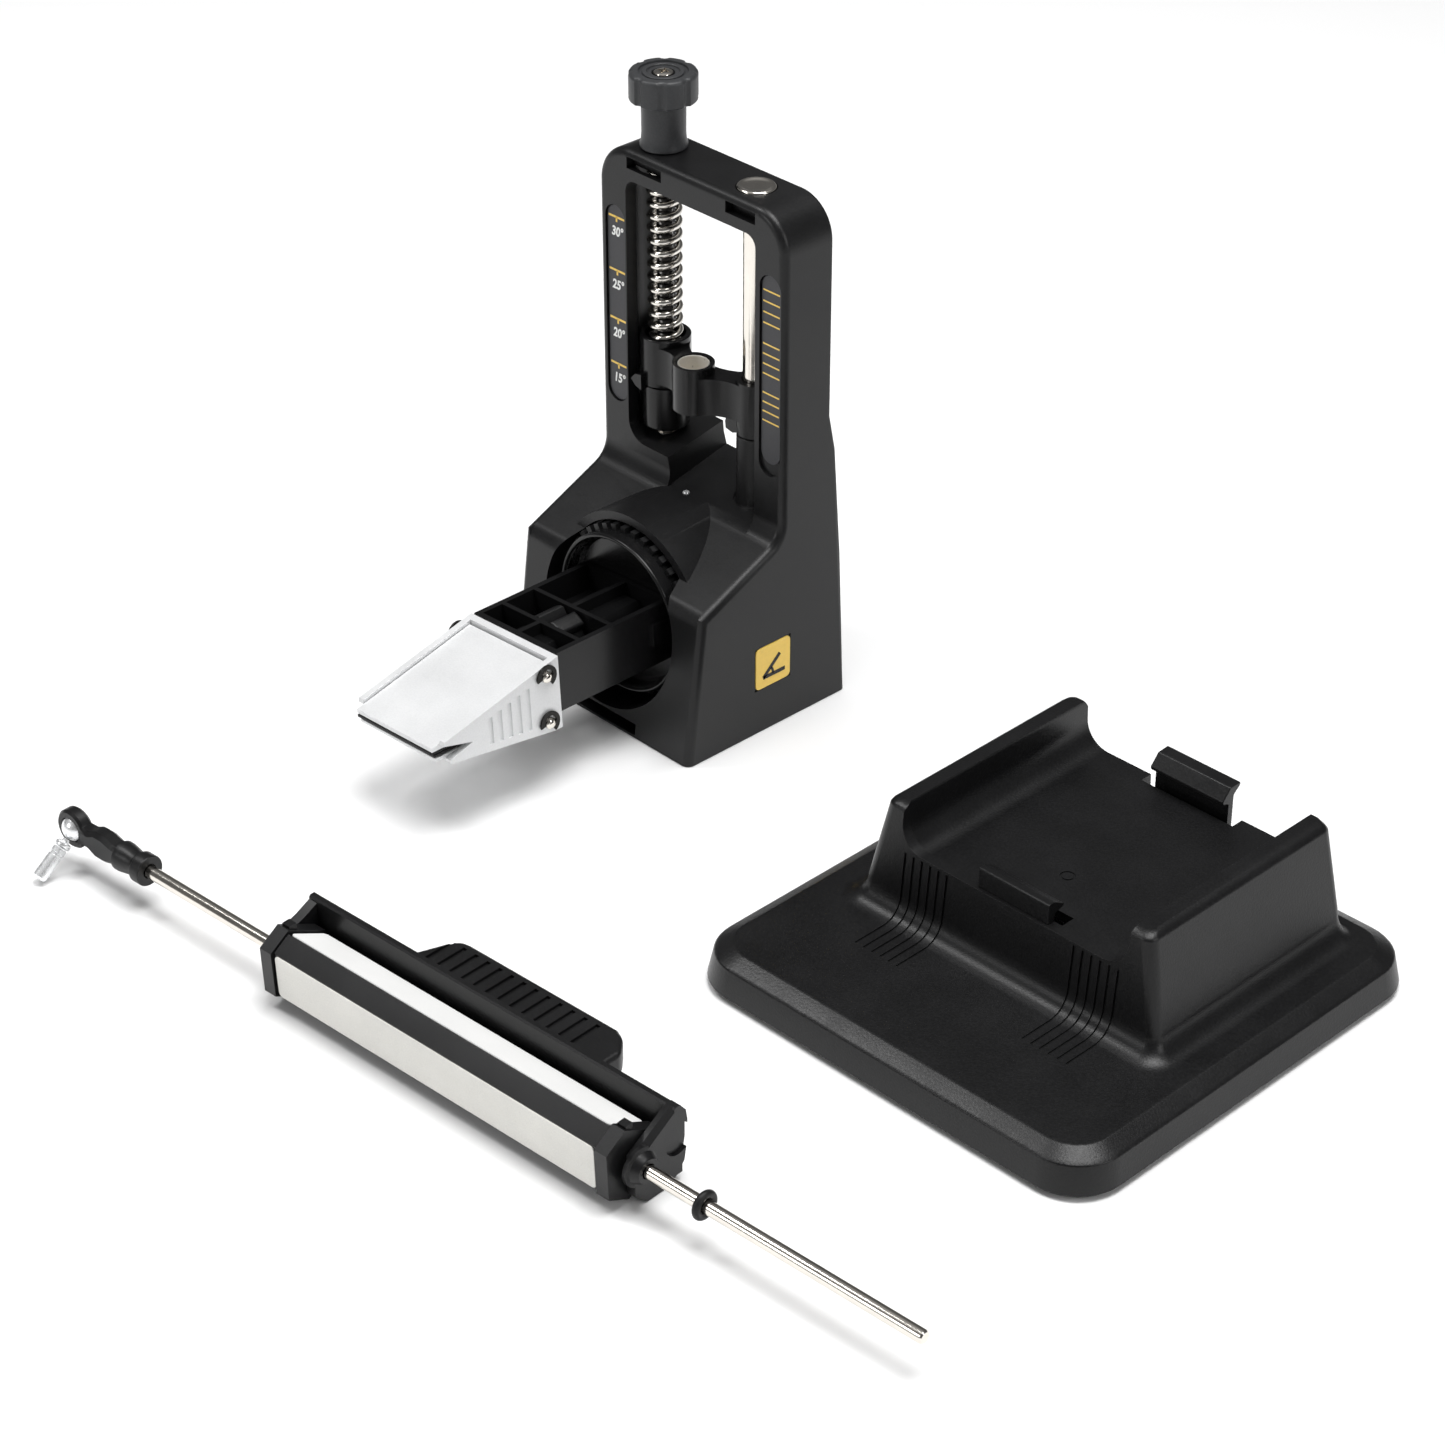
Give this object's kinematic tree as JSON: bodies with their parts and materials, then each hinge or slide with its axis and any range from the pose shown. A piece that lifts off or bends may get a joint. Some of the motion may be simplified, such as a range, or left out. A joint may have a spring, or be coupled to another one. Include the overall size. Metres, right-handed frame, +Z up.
{
  "type": "honing guide",
  "caption": "Clamp tower with an adjustable-angle carriage, a cradle stand, and a guide rod with a three-sided abrasive in a sliding handle.",
  "frame": {"origin": "centre of the underside of the clamp tower's foot, on the floor", "axes": "+Z up; -Y the way the clamp's jaws point; +X towards the stand"},
  "size_m": [0.3313, 0.2561, 0.1955],
  "materials": {
    "black_plastic": "fine-textured moulded plastic",
    "gloss_plastic": "smooth moulded plastic",
    "grey_plastic": "moulded plastic, satin",
    "scale_grey": "dark inlay with printed marks",
    "yellow_print": "printed label",
    "nickel": "bright nickel plating",
    "steel": "plain steel",
    "cast_aluminium": "fine sand-cast, silver",
    "brass": "turned brass",
    "rubber": "soft black rubber",
    "diamond_plate": "grit-plated steel",
    "ceramic": "fine white ceramic, unglazed"
  },
  "bodies": {
    "stand": {"stand_body": "black_plastic", "foot_1": "rubber", "foot_2": "rubber", "foot_3": "rubber", "foot_4": "rubber"},
    "latch": {"rear_latch": "black_plastic"},
    "tower": {"tower_housing": "black_plastic", "left_scale": "scale_grey", "right_scale": "scale_grey", "side_badge": "yellow_print", "rear_cover": "black_plastic", "cover_screw_1": "steel", "cover_screw_2": "steel", "cover_screw_3": "steel", "cover_screw_4": "steel", "guide_rod": "nickel", "guide_cap": "nickel", "foot_washer": "nickel", "lift_spring": "nickel"},
    "knob": {"angle_knob": "grey_plastic", "knob_screw": "nickel", "lead_screw": "steel"},
    "carriage": {"carriage": "black_plastic", "carriage_nut": "brass", "socket_bushing": "nickel"},
    "clamp": {"clamp_drum": "gloss_plastic", "spindle_washer": "steel", "spindle_screw": "steel", "clamp_arm": "gloss_plastic", "jaw_housing": "cast_aluminium", "upper_pin": "nickel", "lower_pin": "nickel", "upper_left_clip": "steel", "upper_right_clip": "steel", "lower_left_clip": "steel", "lower_right_clip": "steel"},
    "wheel": {"thumbwheel": "black_plastic", "clamp_screw": "steel"},
    "wedge": {"jaw_wedge": "steel"},
    "upper_jaw": {"upper_jaw": "cast_aluminium", "upper_pad": "rubber"},
    "lower_jaw": {"lower_jaw": "cast_aluminium", "lower_pad": "rubber"},
    "rod": {"slide_rod": "nickel", "rod_end": "black_plastic"},
    "ball": {"joint_ball": "nickel"},
    "collar": {"joint_collar": "nickel"},
    "pin": {"joint_pin": "nickel"},
    "holder": {"handle_frame": "black_plastic"},
    "abrasive": {"abrasive_core": "gloss_plastic", "left_cap": "black_plastic", "right_cap": "black_plastic", "coarse_plate": "diamond_plate", "fine_plate": "diamond_plate", "ceramic_plate": "ceramic"},
    "stop_ring": {"stop_ring": "rubber"}
  },
  "joints": [
    {"name": "tower_lift", "type": "slide", "parent": "stand", "child": "tower", "axis": [0, 0, 1], "range_m": [0, 0.12]},
    {"name": "latch_flex", "type": "hinge", "parent": "stand", "child": "latch", "pos_m": [0.18877, 0.02584, 0.0225], "axis": [-0.9998, -0.0209, 0], "range_deg": [0, 7], "stiffness_Nm_per_rad": 0.6},
    {"name": "angle_knob_turn", "type": "hinge", "parent": "tower", "child": "knob", "pos_m": [-0.022, 0.01575, 0.18], "axis": [0, 0, 1], "range_deg": [0, 9000]},
    {"name": "carriage_slide", "type": "slide", "parent": "tower", "child": "carriage", "axis": [0, 0, 1], "range_m": [0, 0.05], "deforming": ["lift_spring"]},
    {"name": "clamp_turn", "type": "hinge", "parent": "tower", "child": "clamp", "pos_m": [0, 0, 0.0343], "axis": [0, 1, 0], "continuous": true},
    {"name": "thumbwheel_turn", "type": "hinge", "parent": "clamp", "child": "wheel", "pos_m": [0, -0.05, 0.0343], "axis": [0, 1, 0], "range_deg": [0, 720]},
    {"name": "wedge_slide", "type": "slide", "parent": "clamp", "child": "wedge", "axis": [0, 1, 0], "range_m": [0, 0.002]},
    {"name": "upper_jaw_tilt", "type": "hinge", "parent": "clamp", "child": "upper_jaw", "pos_m": [-0.0003, -0.0723, 0.03929], "axis": [-0.9981, 0, -0.061], "range_deg": [0, 6]},
    {"name": "lower_jaw_tilt", "type": "hinge", "parent": "clamp", "child": "lower_jaw", "pos_m": [0.00066, -0.0723, 0.02352], "axis": [0.9981, 0, 0.061], "range_deg": [0, 6]},
    {"name": "rod_lift", "type": "slide", "parent": "stand", "child": "rod", "axis": [0, 0, 1], "range_m": [0, 0.12]},
    {"name": "ball_swing", "type": "hinge", "parent": "rod", "child": "ball", "pos_m": [-0.04633, -0.19816, 0.0126], "axis": [-0.9979, -0.0645, 0], "range_deg": [0, 70]},
    {"name": "collar_tilt", "type": "hinge", "parent": "ball", "child": "collar", "pos_m": [-0.04633, -0.19816, 0.0126], "axis": [0.0368, -0.5695, 0.8211], "range_deg": [-20, 20]},
    {"name": "pin_spin", "type": "hinge", "parent": "collar", "child": "pin", "pos_m": [-0.04633, -0.19816, 0.0126], "axis": [0.053, -0.8194, -0.5707], "continuous": true},
    {"name": "holder_slide", "type": "slide", "parent": "rod", "child": "holder", "axis": [0.9979, 0.0645, 0], "range_m": [-0.053, 0.017]},
    {"name": "abrasive_turn", "type": "hinge", "parent": "holder", "child": "abrasive", "pos_m": [0.11284, -0.18787, 0.0126], "axis": [0.9979, 0.0645, 0], "continuous": true},
    {"name": "stop_ring_slide", "type": "slide", "parent": "rod", "child": "stop_ring", "axis": [0.9979, 0.0645, 0], "range_m": [-0.017, 0.07]}
  ],
  "couplings": [
    {"joint": "carriage_slide", "follows": "angle_knob_turn", "m_per_rad": 0.00031831},
    {"joint": "wedge_slide", "follows": "thumbwheel_turn", "m_per_rad": 0.00015915},
    {"joint": "upper_jaw_tilt", "follows": "thumbwheel_turn", "ratio": 0.0083333},
    {"joint": "lower_jaw_tilt", "follows": "thumbwheel_turn", "ratio": 0.0083333}
  ]
}
